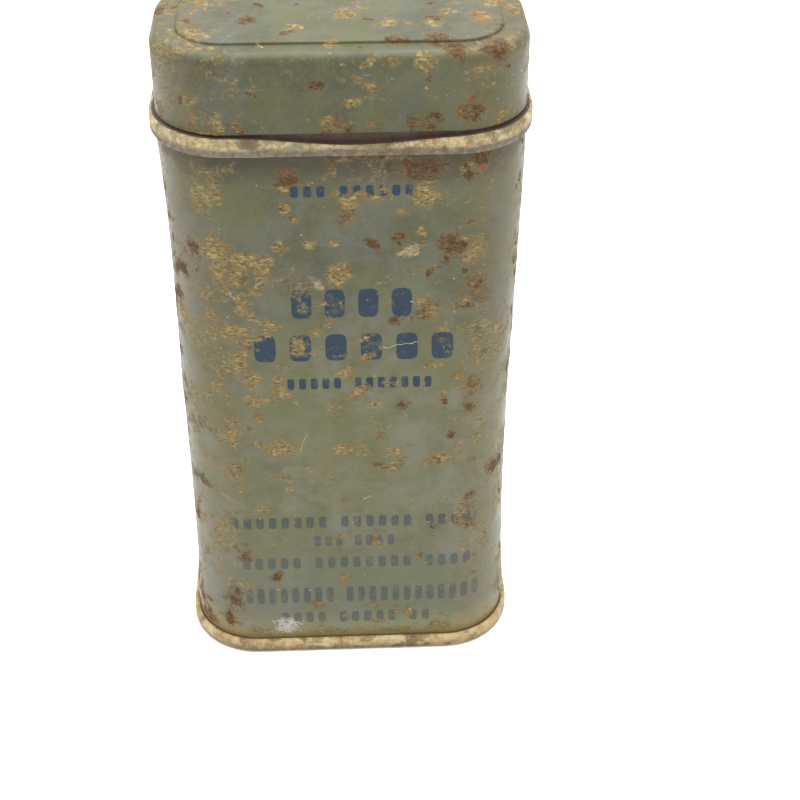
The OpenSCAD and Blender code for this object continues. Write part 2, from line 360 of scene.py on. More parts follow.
# Rust on the front: x and z of the middle, half width, half height, and its tone, where 0 is
# golden, 1 is dark red-brown and below 0 is a pale chip. The rest of the tin gets patches placed at
# random.
FRONT_RUST = [
    (-8.7, 97.0, 1.7, 1.8, 0.75), (-19.5, 94.0, 1.2, 1.0, 0.1), (-9.5, 92.0, 0.9, 1.0, 0.3),
    (-20.5, 84.6, 1.9, 1.9, 0.0), (-16.0, 82.5, 2.9, 2.0, 0.0), (-12.9, 82.0, 1.6, 1.4, 0.05),
    (-20.0, 80.5, 1.9, 1.3, 0.1), (-13.5, 78.0, 1.0, 1.6, 0.1), (0.2, 91.6, 1.5, 2.5, 0.5),
    (-1.8, 85.7, 1.1, 0.7, 0.1), (-1.0, 79.7, 1.6, 1.8, 0.15), (-4.4, 78.4, 1.1, 1.2, -0.4),
    (-24.5, 96.0, 0.8, 3.5, 0.15), (12.0, 98.4, 3.4, 1.9, 0.95), (21.0, 99.2, 1.2, 1.1, 0.9),
    (18.8, 97.3, 0.7, 0.9, 0.8), (12.4, 93.8, 1.6, 1.8, 0.15), (5.2, 95.0, 0.9, 0.8, 0.3),
    (8.8, 86.7, 1.2, 0.9, 0.7), (4.5, 85.3, 1.2, 1.1, 0.6), (17.0, 84.8, 2.5, 1.5, 0.7),
    (20.2, 83.5, 1.7, 1.5, 0.3), (25.8, 87.0, 1.2, 0.9, 0.7), (13.7, 79.6, 1.0, 0.9, 0.7),
    (21.4, 77.8, 1.5, 2.0, 0.6), (-22.2, 72.3, 2.0, 1.5, 0.1), (-12.0, 70.8, 2.1, 0.8, 0.0),
    (-17.4, 69.8, 2.9, 0.9, 0.0), (-23.0, 69.0, 2.4, 1.6, 0.2), (-8.1, 66.6, 1.5, 1.6, 0.0),
    (-17.2, 64.2, 1.6, 1.8, 0.0), (-16.0, 60.4, 1.7, 1.1, 0.05), (-21.0, 58.7, 1.1, 2.1, 0.1),
    (-10.8, 58.0, 1.7, 1.3, 0.2), (-14.7, 55.5, 1.4, 1.4, 0.05), (-19.7, 48.8, 1.4, 3.2, 0.0),
    (-14.8, 47.2, 1.0, 1.1, 0.0), (-12.0, 45.8, 2.3, 1.9, 0.05), (-1.0, 44.7, 1.7, 1.5, 0.3),
    (1.7, 57.0, 1.5, 1.2, 0.3), (-1.2, 61.0, 1.4, 0.9, 0.35), (23.0, 74.0, 1.4, 3.0, 0.55),
    (25.0, 70.3, 1.3, 1.5, 0.75), (13.2, 73.3, 2.2, 1.8, 0.45), (8.3, 71.3, 1.1, 1.0, 0.8),
    (14.7, 62.4, 1.9, 1.2, 0.4), (22.0, 63.2, 1.2, 2.1, 0.4), (21.2, 57.0, 1.9, 2.3, 0.55),
    (21.3, 52.8, 1.4, 1.7, 0.5), (9.3, 54.4, 1.1, 1.0, 0.7), (16.0, 55.5, 0.9, 0.9, 0.7),
    (5.2, 48.0, 1.1, 0.8, 0.4), (17.0, 48.7, 1.3, 0.6, 0.6), (15.0, 42.6, 2.3, 1.5, 0.4),
    (9.0, 41.5, 1.1, 1.2, 0.7), (22.8, 41.0, 1.7, 2.1, 0.6), (-21.6, 40.8, 1.4, 1.8, 0.1),
    (-24.6, 32.0, 1.0, 1.6, 0.1), (21.4, 34.0, 1.1, 1.0, 0.7), (20.6, 28.6, 1.6, 1.2, 0.6),
    (14.8, 27.0, 1.1, 0.9, 0.7), (23.8, 16.8, 1.2, 1.8, 0.75), (-18.6, 22.3, 1.5, 1.6, 0.7),
    (-13.6, 17.8, 1.6, 1.0, 0.75), (-21.8, 10.6, 1.6, 2.3, 0.9), (-22.4, 6.6, 1.9, 1.6, 0.8),
    (-17.2, 4.2, 1.9, 1.2, 0.0), (-4.0, 3.6, 3.4, 0.7, 0.0), (8.0, 3.6, 3.0, 0.8, 0.0),
    (16.0, 4.4, 1.4, 1.5, 0.1), (-25.5, 20.0, 0.9, 2.2, 0.5), (-24.0, 52.0, 1.2, 3.0, 0.3),
    (3.0, 100.4, 7.5, 0.5, 0.5), (9.6, 83.8, 1.4, 1.0, -0.4), (-10.0, 36.4, 0.9, 0.7, -0.3),
    (-12.0, 5.6, 2.2, 1.7, -1.0), (2.2, 34.4, 0.7, 0.8, -1.0), (-17.9, 76.8, 0.5, 0.5, -1.0),
    (26.0, 97.5, 0.9, 1.6, -0.3), (-26.2, 62.0, 1.6, 7.0, 0.25), (-25.0, 45.0, 1.0, 3.4, 0.2),
    (24.8, 60.0, 0.9, 3.0, 0.5),
]
FRONT_RUST_SCALE = 0.92
# Small flecks at random on the front: middle x, spread, lowest and highest z, how many, and their
# lowest tone.
FRONT_SPECKLES = [
    (0.0, 17.0, 4.0, 100.0, 150, 0.1),
    (-18.5, 3.6, 40.0, 86.0, 60, 0.0),
    (20.5, 3.0, 38.0, 92.0, 45, 0.35),
    (25.0, 1.2, 30.0, 99.0, 60, 0.25),
    (-25.0, 1.2, 6.0, 99.0, 50, 0.1),
]
FRONT_EDGE = 27.0  # no fleck of the front is beyond this x
FRONT_CLEAR = 23.5  # random patches on the front keep to its edges, beyond this x
CORNER_RUST_X = 27.5  # where rust runs up the upright corners


class Patches:
    """Rust patches on the outer face, by their place round the plan and their height."""

    def __init__(self, seed):
        self.items = []
        self.random = random.Random(seed)

    def add(self, x, y, z, rx, rz, tone):
        self.items.append((x, y, z, rx, rz, tone))

    def scatter(self, count, ring, z0, z1, size, avoid_front=False):
        """Random patches: many small ones and a few large ones, in loose clusters."""
        while count > 0:
            px, py, _, _ = ring[self.random.randrange(len(ring))]
            z = self.random.uniform(z0, z1)
            tone = self.random.random()
            for _ in range(self.random.choice((1, 1, 2, 4))):
                r = size * (0.35 + self.random.random() ** 2 * 1.3)
                x = px + self.random.gauss(0, 1.8) * (abs(py) > HALF_D - 3)
                y = py + self.random.gauss(0, 1.8) * (abs(px) > HALF_W - 3)
                high = z + self.random.gauss(0, 2.0)
                shape = self.random.uniform(0.7, 1.4)
                count -= 1
                if avoid_front and py < -HALF_D + 4 and abs(x) < FRONT_CLEAR:
                    continue
                self.add(x, y, min(max(high, z0), z1), r * shape, r / shape, tone)

    def paint(self, points):
        """The rust value and tone at each point. A patch's edge is broken up by noise."""
        rust = np.zeros(points.shape[:-1])
        tone = np.full(points.shape[:-1], 0.3)
        moved = points.copy()
        for size, reach in ((3.4, 1.2), (1.3, 0.7)):
            moved += reach * np.stack([waves(points, size, s) for s in (3, 4, 5)], axis=-1)
        for x, y, z, rx, rz, colour in self.items:
            near = np.abs(points[..., 2] - z) < rz * 2 + 2
            p = moved[near]
            flat = np.hypot(p[:, 0] - x, p[:, 1] - y)
            d = np.sqrt((flat / rx) ** 2 + ((p[:, 2] - z) / rz) ** 2)
            value = np.clip(1.35 - 0.75 * d, 0, 1)
            old = rust[near]
            better = value > old
            tone_here = tone[near]
            tone_here[better] = colour
            tone[near] = tone_here
            rust[near] = np.maximum(old, value)
        return rust, tone


# ---- Meshes ----


def make_mesh(name, points, faces, weld=0.0, bare=0.0):
    """A mesh object from points in millimetres, with its faces turned outwards.

    bare is each point's value of that name. Points closer than weld are joined.
    """
    mesh = bpy.data.meshes.new(name)
    mesh.from_pydata((points.reshape(-1, 3) * MM).tolist(), [], faces.tolist())
    set_value(mesh, "bare", np.broadcast_to(bare, len(mesh.vertices)))
    bm = bmesh.new()
    bm.from_mesh(mesh)
    if weld:
        bmesh.ops.remove_doubles(bm, verts=bm.verts, dist=weld * MM)
    bmesh.ops.recalc_face_normals(bm, faces=bm.faces)
    bm.to_mesh(mesh)
    bm.free()
    mesh.shade_smooth()
    mesh.set_sharp_from_angle(angle=math.radians(50))
    obj = bpy.data.objects.new(name, mesh)
    bpy.context.scene.collection.objects.link(obj)
    return obj


def grid_faces(rows, columns, close_rows):
    """Quads between each row of points and the next, where each row is a closed loop."""
    last = rows if close_rows else rows - 1
    i, j = np.meshgrid(np.arange(last), np.arange(columns), indexing="ij")
    up, along_ring = (i + 1) % rows, (j + 1) % columns
    quads = [i * columns + j, i * columns + along_ring, up * columns + along_ring, up * columns + j]
    return np.stack(quads, axis=-1).reshape(-1, 4)


def mesh_points(mesh):
    co = np.empty(len(mesh.vertices) * 3, np.float32)
    mesh.vertices.foreach_get("co", co)
    return co.reshape(-1, 3).astype(float) / MM


def set_value(mesh, name, values):
    """Paints a value from the array onto each of the mesh's points."""
    attribute = mesh.attributes.new(name, "FLOAT", "POINT")
    attribute.data.foreach_set("value", values.astype(np.float32))


def paint_and_swell(obj, patches, outside, height):
    """Gives the mesh its rust and tone values, and lifts the crust off the outer faces.

    outside says for each point how far it belongs to an outer face, from 0 to 1.
    """
    mesh = obj.data
    points = mesh_points(mesh)
    rust, tone = patches.paint(points)
    rust = rust * outside
    normals = np.empty(len(mesh.vertices) * 3, np.float32)
    mesh.vertex_normals.foreach_get("vector", normals)
    crust = ease((rust - 0.3) / 0.5) * (0.6 + 0.9 * waves(points, 0.8, 6))
    moved = points + normals.reshape(-1, 3) * (crust * height)[:, None]
    mesh.vertices.foreach_set("co", (moved * MM).astype(np.float32).ravel())
    mesh.update()
    set_value(mesh, "rust", rust)
    set_value(mesh, "tone", tone)


def side_groove(ring, z):
    """How far the side seam's groove and its inside folds stand in from the wall, at each place."""
    y = ring[:, 1]
    left = (ring[:, 2] < -0.99) * 1.0
    span = ease((z - LOCK_Z[0]) / 0.5) * ease((LOCK_Z[1] - z) / 0.5)
    groove = 0.9 * ease((y - 1.35) / 0.45) * ease((3.3 - y) / 1.1) * left
    inside = 1.05 * ease((y + 2.1) / 0.2) * ease((3.3 - y) / 1.1) * left
    return span[:, None] * groove[None], span[:, None] * inside[None]


def body_piece(patches):
    ring = plan_ring(BODY_RING_STEP, groove=True)
    outline, outer = folded_sheet(body_line(0.5), body_line(4.0))
    points = place(ring, outline)
    groove, inside = side_groove(ring, outline[:, 1])
    wall = (outline[:, 0] < 0.02) & (outline[:, 1] > 3) & (outline[:, 1] < TOP_SEAM_Z)
    depth = np.where(outer[:, None], groove, inside) * wall[:, None]
    points[..., 0] += depth
    points = push(points, ring, walls=True)
    inner = np.repeat(~outer, len(ring))
    obj = make_mesh("body", points, grid_faces(len(outline), len(ring), True), bare=inner)
    seen = np.repeat((outer & wall).astype(float), len(ring))
    paint_and_swell(obj, patches, seen, 0.07)
    return obj


def solder_piece():
    """The strip of solder that fills the side seam's groove, thinner at both ends."""
    heights = np.array([LOCK_Z[0], *along(LOCK_Z[0] + 0.3, LOCK_Z[1] - 0.3, 0.7), LOCK_Z[1]])
    face = [(0.09, 1.52), (0.10, 1.9), (0.13, 2.3), (0.12, 2.7), (0.10, 3.05)]
    deep = [(0.55, 2.9), (0.82, 2.4), (0.80, 2.0), (0.60, 1.66)]
    shape = np.array(face + deep)  # how far in from the wall, and y
    on_face = shape[None, :, 0] < 0.2
    points = np.zeros((len(heights), len(shape), 3))
    points[..., 0] = -HALF_W + shape[None, :, 0]
    points[..., 1] = shape[None, :, 1]
    points[..., 2] = heights[:, None]
    ends = ease(np.minimum(heights - LOCK_Z[0], LOCK_Z[1] - heights) / 0.8)
    points[..., 0] += (0.25 * (1 - ends))[:, None] * on_face
    ring = np.tile([-HALF_W, 2.3, -1.0, 0.0], (len(shape), 1))
    points = push(points, ring, walls=True)
    points[..., 0] += 0.05 * waves(points, 1.6, 8) * on_face
    faces = grid_faces(len(heights), len(shape), False).tolist()
    count = len(shape)
    top = (len(heights) - 1) * count
    faces.append(list(range(count))[::-1])
    faces.append([top + i for i in range(count)])
    obj = make_mesh("side_seam_solder_strip", points, np.array(faces, dtype=object))
    flat = mesh_points(obj.data)
    set_value(obj.data, "rust", 0.35 + 0.5 * waves(flat, 3.0, 9))
    set_value(obj.data, "tone", np.full(len(flat), 0.7))
    return obj


def neck_piece(patches):
    ring = plan_ring(RING_STEP)
    outline, _ = folded_sheet(neck_line(0.8))
    points = push(place(ring, outline), ring, walls=False)
    points[..., 2] += 0.05 * waves(points, 5.0, 11) * (outline[:, 1] < CREST_Z + 1)[:, None]
    inside = ease((0.66 - outline[:, 0]) / 0.22) * (outline[:, 1] > CREST_Z - 0.8)
    inside = np.maximum(inside, outline[:, 1] > CREST_Z + 0.05)
    # Marks the neck's inside and top, which its material paints dark: grime, and painted shade in
    # the gap under the lid.
    grime_and_shade = np.repeat(inside, len(ring))
    obj = make_mesh("neck", points, grid_faces(len(outline), len(ring), True), bare=grime_and_shade)
    paint_and_swell(obj, patches, np.ones(len(obj.data.vertices)), 0.05)
    return obj


def bottom_piece(patches):
    ring = plan_ring(RING_STEP)
    outline, _ = folded_sheet(bottom_line(1.0), open_end=True)
    points = push(place(ring, outline), ring, walls=False)
    panel = np.repeat(outline[:, 0] < CHUCK_X + 0.2, len(ring))
    faces = grid_faces(len(outline), len(ring), False)
    obj = make_mesh("bottom", points, faces, weld=0.02, bare=panel)
    paint_and_swell(obj, patches, np.ones(len(obj.data.vertices)), 0.04)
    return obj


def lid_piece(patches):
    ring = plan_ring(RING_STEP)
    outline, outer = folded_sheet(lid_line(0.5), lid_line(2.0), open_end=True)
    points = place(ring, outline)
    flat = (outline[:, 0] > INNER)[:, None]
    out = np.concatenate([ring[:, 2:], np.zeros((len(ring), 1))], axis=1)[None]
    uneven = 0.07 * waves(points, 15.0, 12) * flat
    points = points + uneven[..., None] * out
    edge = ease((LID_BOTTOM + 6.0 - points[..., 2]) / 6.0)
    sag = 0.36 - 0.005 * points[..., 0] + 0.10 * waves(points, 9.0, 13)
    points[..., 2] -= edge * sag
    top = ease((points[..., 2] - LID_TOP + LID_PANEL_RISE + 0.02) / 0.3)
    points[..., 2] -= 0.16 * top * (0.5 + 0.5 * waves(points, 14.0, 14))
    inner = np.repeat(~outer, len(ring))
    faces = grid_faces(len(outline), len(ring), False)
    obj = make_mesh("slip_lid", points, faces, weld=0.02, bare=inner)
    bare = np.empty(len(obj.data.vertices), np.float32)
    obj.data.attributes["bare"].data.foreach_get("value", bare)
    paint_and_swell(obj, patches, 1 - bare, 0.05)
    return obj


def compound_piece(name, flip):
    ring = plan_ring(LINING_RING_STEP)
    outline = compound_outline()
    if flip:
        outline = outline * (1, -1) + (0, CREST_Z)
    points = push(place(ring, outline), ring, walls=False)
    obj = make_mesh(name, points, grid_faces(len(outline), len(ring), True))
    count = len(obj.data.vertices)
    set_value(obj.data, "rust", np.zeros(count))
    set_value(obj.data, "tone", np.zeros(count))
    return obj


# ---- Material nodes ----


def srgb(r, g, b):
    """A display colour, from 0 to 255 a channel, as linear values."""
    out = []
    for v in (r / 255, g / 255, b / 255):
        out.append(v / 12.92 if v <= 0.04045 else ((v + 0.055) / 1.055) ** 2.4)
    return (*out, 1.0)


GLOSS = 0.038  # what the enamel's gloss adds to an upright face in this room
LIGHT = 1.80  # how strongly the room lights an upright face


def lit(r, g, b):
    """The paint that shows this display colour on an upright face."""
    return tuple(max(v - GLOSS, 0.006) / LIGHT for v in srgb(r, g, b)[:3]) + (1.0,)


class Nodes:
    """Builds one material's node tree. Lengths in it are millimetres."""

    def __init__(self, name):
        self.material = bpy.data.materials.new(name)
        self.material.use_nodes = True
        self.tree = self.material.node_tree
        self.tree.nodes.clear()
        self.output = self.add("ShaderNodeOutputMaterial")
        self.shader = self.add("ShaderNodeBsdfPrincipled")
        self.join(self.shader.outputs[0], self.output.inputs[0])
        place = self.add("ShaderNodeTexCoord").outputs["Object"]
        scale = self.add("ShaderNodeVectorMath", operation="SCALE")
        scale.inputs["Scale"].default_value = 1 / MM
        self.join(place, scale.inputs[0])
        self.mm = scale.outputs[0]

    def add(self, kind, **settings):
        node = self.tree.nodes.new(kind)
        for key, value in settings.items():
            setattr(node, key, value)
        return node

    def join(self, value, socket):
        """Links an output to the socket, or sets the socket to a plain value."""
        if isinstance(value, bpy.types.NodeSocket):
            self.tree.links.new(value, socket)
        else:
            socket.default_value = value

    def math(self, operation, *values):
        node = self.add("ShaderNodeMath", operation=operation)
        for value, socket in zip(values, node.inputs):
            self.join(value, socket)
        return node.outputs[0]

    def plus(self, a, b):
        return self.math("ADD", a, b)

    def times(self, a, b):
        return self.math("MULTIPLY", a, b)

    def minus(self, a, b):
        return self.math("SUBTRACT", a, b)

    def blend(self, factor, a, b):
        """A colour from a to b."""
        node = self.add("ShaderNodeMix", data_type="RGBA", blend_type="MIX")
        self.join(factor, node.inputs["Factor"])
        self.join(a, node.inputs[6])
        self.join(b, node.inputs[7])
        return node.outputs[2]

    def mix(self, factor, a, b):
        """A number from a to b."""
        node = self.add("ShaderNodeMix", data_type="FLOAT")
        self.join(factor, node.inputs["Factor"])
        self.join(a, node.inputs[2])
        self.join(b, node.inputs[3])
        return node.outputs[0]

    def centred(self, value):
        return self.minus(value, 0.5)

    def noise(self, size, detail=3.0, rough=0.5, warp=0.0, seed=0.0, stretch=None):
        """Noise from 0 to 1 with features about this many millimetres across."""
        vector = self.mm
        if seed or stretch:
            node = self.add("ShaderNodeMapping")
            self.join(self.mm, node.inputs["Vector"])
            node.inputs["Location"].default_value = (seed * 31.7, seed * 12.9, seed * 7.7)
            node.inputs["Scale"].default_value = stretch or (1, 1, 1)
            vector = node.outputs[0]
        node = self.add("ShaderNodeTexNoise")
        self.join(vector, node.inputs["Vector"])
        node.inputs["Scale"].default_value = 1 / size
        node.inputs["Detail"].default_value = detail
        node.inputs["Roughness"].default_value = rough
        node.inputs["Distortion"].default_value = warp
        return node.outputs["Fac"]

    def step(self, value, low, high):
        """Rises smoothly from 0 at low to 1 at high. low may be the greater."""
        node = self.add("ShaderNodeMapRange", interpolation_type="SMOOTHSTEP")
        self.join(value, node.inputs["Value"])
        self.join(low, node.inputs["From Min"])
        self.join(high, node.inputs["From Max"])
        return node.outputs[0]

    def ramp(self, factor, *stops):
        node = self.add("ShaderNodeValToRGB")
        self.join(factor, node.inputs[0])
        points = node.color_ramp.elements
        while len(points) < len(stops):
            points.new(0.5)
        for point, (place, colour) in zip(points, stops):
            point.position = place
            point.color = colour
        return node.outputs[0]

    def painted(self, name):
        """One of the values painted on the mesh's points."""
        return self.add("ShaderNodeAttribute", attribute_name=name).outputs["Fac"]

    def xyz(self):
        node = self.add("ShaderNodeSeparateXYZ")
        self.join(self.mm, node.inputs[0])
        return node.outputs[0], node.outputs[1], node.outputs[2]

    def finish(self, colour, rough, height=None, metal=0.0, ior=1.45):
        """Joins up the shader. The bump's height is in millimetres."""
        self.shader.inputs["IOR"].default_value = ior
        self.join(colour, self.shader.inputs["Base Color"])
        self.join(rough, self.shader.inputs["Roughness"])
        self.join(metal, self.shader.inputs["Metallic"])
        if height is not None:
            bump = self.add("ShaderNodeBump")
            bump.inputs["Distance"].default_value = MM
            bump.inputs["Strength"].default_value = 1.0
            self.join(height, bump.inputs["Height"])
            self.join(bump.outputs[0], self.shader.inputs["Normal"])
        return self.material


# ---- Rusted sheet ----


def crust(n):
    """The stain round the rust, and the rust's cover, colour and relief.

    The cover follows the mesh's rust value, and flecks are scattered between its patches. Noise as
    fine as the flakes breaks up their edges.
    """
    rust, tone = n.painted("rust"), n.painted("tone")
    x, _, _ = n.xyz()
    ragged = n.centred(n.noise(1.7, 5.0, 0.6, seed=1))
    flake = n.centred(n.noise(0.42, 4.0, 0.62, seed=3))
    cluster = n.noise(9.0, 3.0, 0.55, seed=2)
    edge = n.step(n.math("ABSOLUTE", x), 13.0, 24.0)
    envelope = n.plus(rust, n.times(ragged, 1.5))
    patch = n.step(n.plus(envelope, n.times(flake, 1.6)), 0.26, 0.84)
    islands = n.noise(2.3, 5.0, 0.62, seed=33)
    scattered = n.plus(n.times(n.centred(cluster), 1.7), n.times(n.centred(islands), 1.9))
    scattered = n.plus(n.plus(scattered, n.times(flake, 0.9)), n.times(edge, 0.22))
    fleck = n.step(scattered, 0.16, 0.58)
    cover = n.math("MAXIMUM", n.times(patch, 0.95), n.times(fleck, 0.7))
    stain = n.step(n.plus(n.plus(rust, n.times(ragged, 1.6)), n.times(edge, 0.36)), 0.06, 0.80)
    flow = n.noise(0.62, 4.0, 0.62, warp=0.5, seed=5, stretch=(0.8, 0.8, 1.9))
    golden = n.ramp(
        flow,
        (0.33, lit(114, 100, 72)),
        (0.44, lit(138, 124, 88)),
        (0.55, lit(164, 148, 110)),
        (0.68, lit(200, 184, 142)),
    )
    brown = n.ramp(
        flow,
        (0.33, lit(90, 72, 59)),
        (0.44, lit(102, 83, 67)),
        (0.57, lit(116, 95, 76)),
        (0.70, lit(150, 126, 100)),
    )
    drift = n.centred(n.noise(3.2, 2.0, 0.5, seed=6))
    shade = n.plus(tone, n.times(drift, 1.1))
    colour = n.blend(n.step(shade, 0.25, 0.75), golden, brown)
    fresh = n.step(n.noise(1.9, 4.0, 0.6, seed=37), 0.56, 0.66)
    colour = n.blend(n.times(fresh, 0.5), colour, lit(172, 124, 78))
    pale = n.ramp(flow, (0.35, lit(178, 174, 154)), (0.6, lit(222, 220, 208)))
    colour = n.blend(n.step(n.times(tone, -1.0), 0.15, 0.95), colour, pale)
    relief = n.times(cover, n.plus(0.02, n.times(flow, 0.08)))
    return stain, cover, colour, relief


def olive(n):
    """Olive enamel, with painted shade making it darker and greyer near the top, fine scuffs, a
    pale foot, and grime and painted shade under the seam.
    """
    _, _, z = n.xyz()
    broad = n.noise(24.0, 3.0, 0.5, seed=7)
    cloud = n.noise(6.0, 4.0, 0.6, seed=8)
    grain = n.noise(0.9, 4.0, 0.7, seed=9)
    # Painted shade: the enamel is blended from a lighter colour low down to a darker, greyer one
    # near the top.
    height = n.plus(z, n.times(n.centred(broad), 70.0))
    low = n.blend(n.step(cloud, 0.38, 0.62), lit(121, 122, 96), lit(133, 134, 114))
    high = n.blend(n.step(cloud, 0.38, 0.62), lit(97, 99, 80), lit(105, 108, 96))
    colour = n.blend(n.step(height, 45.0, 108.0), low, high)
    colour = n.blend(n.times(n.step(grain, 0.35, 0.75), 0.25), colour, lit(142, 136, 108))
    darker = n.times(n.step(n.noise(2.6, 3.0, 0.6, seed=10), 0.50, 0.72), 0.30)
    colour = n.blend(darker, colour, lit(96, 92, 68))
    yellow = n.times(n.step(n.noise(13.0, 4.0, 0.6, seed=34), 0.44, 0.62), 0.5)
    colour = n.blend(yellow, colour, lit(119, 120, 85))
    faded = n.times(n.step(n.plus(z, n.times(n.centred(broad), 12.0)), 30.0, 13.0), 0.38)
    colour = n.blend(faded, colour, lit(137, 140, 129))
    foot = n.times(n.step(n.plus(z, n.times(n.centred(cloud), 6.0)), 10.0, 3.5), 0.8)
    colour = n.blend(foot, colour, lit(162, 160, 124))
    # Grime and painted shade: a darker band on the wall just under the top seam.
    grime_and_shade = n.times(n.step(n.plus(z, n.times(n.centred(cloud), 5.0)), 94.5, 99.5), 0.8)
    grime_and_shade = n.times(grime_and_shade, n.math("LESS_THAN", z, TOP_SEAM_Z + 1.0))
    return n.blend(grime_and_shade, colour, lit(91, 86, 73)), cloud, grain


def paint_material(name, printed):
    """Rusted enamel outside and tarnished tin inside. The printed side is the body's front."""
    n = Nodes(name)
    x, y, z = n.xyz()
    stain, cover, rust_colour, relief = crust(n)
    colour, cloud, grain = olive(n)
    colour = n.blend(n.times(stain, 0.5), colour, lit(138, 118, 88))
    creep = n.plus(z, n.times(n.centred(n.noise(3.4, 5.0, 0.62, seed=36)), 13.0))
    corner = n.step(n.math("ABSOLUTE", x), 16.0, 25.0)
    creep = n.step(creep, n.plus(5.2, n.times(corner, 3.0)), n.plus(2.4, n.times(corner, 1.0)))
    crept = n.blend(grain, lit(150, 126, 84), lit(176, 150, 104))
    colour = n.blend(n.times(creep, 0.7), colour, crept)
    if printed:
        colour = print_rows(n, colour)
        for where, shade in SCRATCHES:
            colour = n.blend(scratch(n, *where), colour, lit(*shade))
    dust = n.step(n.noise(0.7, 3.0, 0.5, seed=11), 0.725, 0.755)
    colour = n.blend(n.times(dust, 0.7), colour, lit(205, 200, 180))
    colour = n.blend(cover, colour, rust_colour)
    bare = n.painted("bare")
    tin, tin_rough = bare_tin(n)
    colour = n.blend(bare, colour, tin)
    smooth = n.plus(0.26, n.times(n.noise(4.0, 4.0, 0.6, seed=12), 0.30))
    rough = n.mix(cover, smooth, 0.92)
    rough = n.mix(bare, rough, tin_rough)
    skin = n.times(n.noise(0.45, 2.0, 0.5, seed=13), 0.012)
    height = n.plus(n.plus(relief, skin), n.times(grain, 0.01))
    return n.finish(colour, rough, height, metal=n.times(bare, 0.75), ior=1.30)


# Scratches on the front: the middle's x, half the width that it crosses, the middle's z, its slope
# and its own half width, and its colour.
SCRATCHES = [
    ((8.4, 3.4, 66.4, 0.14, 0.10), (206, 204, 180)),
    ((-7.6, 0.75, 47.0, 3.2, 0.12), (196, 160, 104)),
    ((-20.5, 2.6, 34.4, -0.55, 0.16), (166, 146, 104)),
]


def on_front(n, y):
    return n.math("LESS_THAN", y, -HALF_D + 2.0)


def scratch(n, middle, reach, height, slope, width):
    """Where a thin, slightly wavering scratch is."""
    x, y, z = n.xyz()
    waver = n.times(n.centred(n.noise(2.4, 2.0, 0.5, seed=39)), 2.2)
    across = n.minus(x, middle)
    line_z = n.plus(n.times(across, slope), n.plus(waver, height))
    off = n.times(n.math("ABSOLUTE", n.minus(z, line_z)), 1 / math.hypot(1, slope))
    ends = n.step(n.math("ABSOLUTE", across), reach, reach * 0.8)
    return n.times(n.times(n.step(off, width, 0.0), ends), on_front(n, y))


def bare_tin(n):
    """Tinplate that has gone grey and brown: its colour and roughness."""
    tarnish = n.noise(7.0, 5.0, 0.62, seed=14)
    spots = n.step(n.noise(1.6, 5.0, 0.6, seed=15), 0.56, 0.66)
    colour = n.ramp(
        tarnish,
        (0.30, srgb(86, 78, 70)),
        (0.48, srgb(128, 122, 112)),
        (0.70, srgb(166, 162, 152)),
    )
    colour = n.blend(n.times(spots, 0.8), colour, srgb(92, 60, 40))
    return colour, n.plus(0.35, n.times(tarnish, 0.4))


# Rows of print, now plain bars the size of letters: left and right end, middle height, letter
# height, and how many letters are in each word.
PRINT_ROWS = [
    (-8.3, 11.2, 94.8, 2.0, (3, 6)),
    (-9.1, 12.2, 74.6, 5.6, (4,)),
    (-15.4, 19.1, 66.2, 5.4, (6,)),
    (-10.0, 14.5, 59.1, 2.3, (5, 7)),
    (-21.0, 24.2, 29.4, 2.6, (8, 6, 5)),
    (-6.5, 8.4, 25.1, 2.5, (3, 4)),
    (-19.4, 22.2, 20.1, 2.7, (5, 8, 4)),
    (-21.2, 23.9, 12.6, 3.6, (9, 12)),
    (-12.9, 14.9, 7.4, 2.6, (4, 5, 2)),
]


WORD_GAP = 0.75  # between words, as a part of one letter's pitch
BAR_MIDDLE, BAR_HALF = 0.38, 0.32  # where a bar is in its pitch, and half its width


def rounded(n, value, half):
    """Rises from 0 at the middle of a bar to 1 at half its size, slowly and then fast."""
    return n.math("POWER", n.times(n.math("ABSOLUTE", value), 1 / half), 4.0)


def print_rows(n, colour):
    """Worn navy bars on the front face, in the places that rows of print would take."""
    x, y, z = n.xyz()
    wear = n.noise(2.4, 5.0, 0.65, seed=16)
    wobble = n.times(n.centred(n.noise(0.8, 3.0, 0.6, seed=17)), 0.2)
    moved_x, moved_z = n.plus(x, wobble), n.plus(z, wobble)
    total = 0.0
    for left, right, middle, tall, words in PRINT_ROWS:
        pitch = (right - left) / (sum(words) + WORD_GAP * (len(words) - 1))
        start = left
        row = 0.0
        for count in words:
            end = start + pitch * count
            inside = n.math("COMPARE", moved_x, (start + end) / 2, (end - start) / 2)
            cell = n.math("FRACT", n.times(n.minus(moved_x, start), 1 / pitch))
            bar = n.minus(1.0, rounded(n, n.minus(cell, BAR_MIDDLE), BAR_HALF))
            row = n.math("MAXIMUM", row, n.times(inside, bar))
            start = end + pitch * WORD_GAP
        row = n.minus(row, rounded(n, n.minus(moved_z, middle), tall / 2))
        total = n.math("MAXIMUM", total, row)
    bars = n.times(n.step(total, 0.0, 0.35), on_front(n, y))
    kept = n.minus(0.97, n.times(n.step(wear, 0.53, 0.70), 0.6))
    low_wear = n.minus(1.0, n.times(n.step(moved_z, 40.0, 25.0), 0.50))
    return n.blend(n.times(bars, n.times(kept, low_wear)), colour, lit(62, 76, 92))


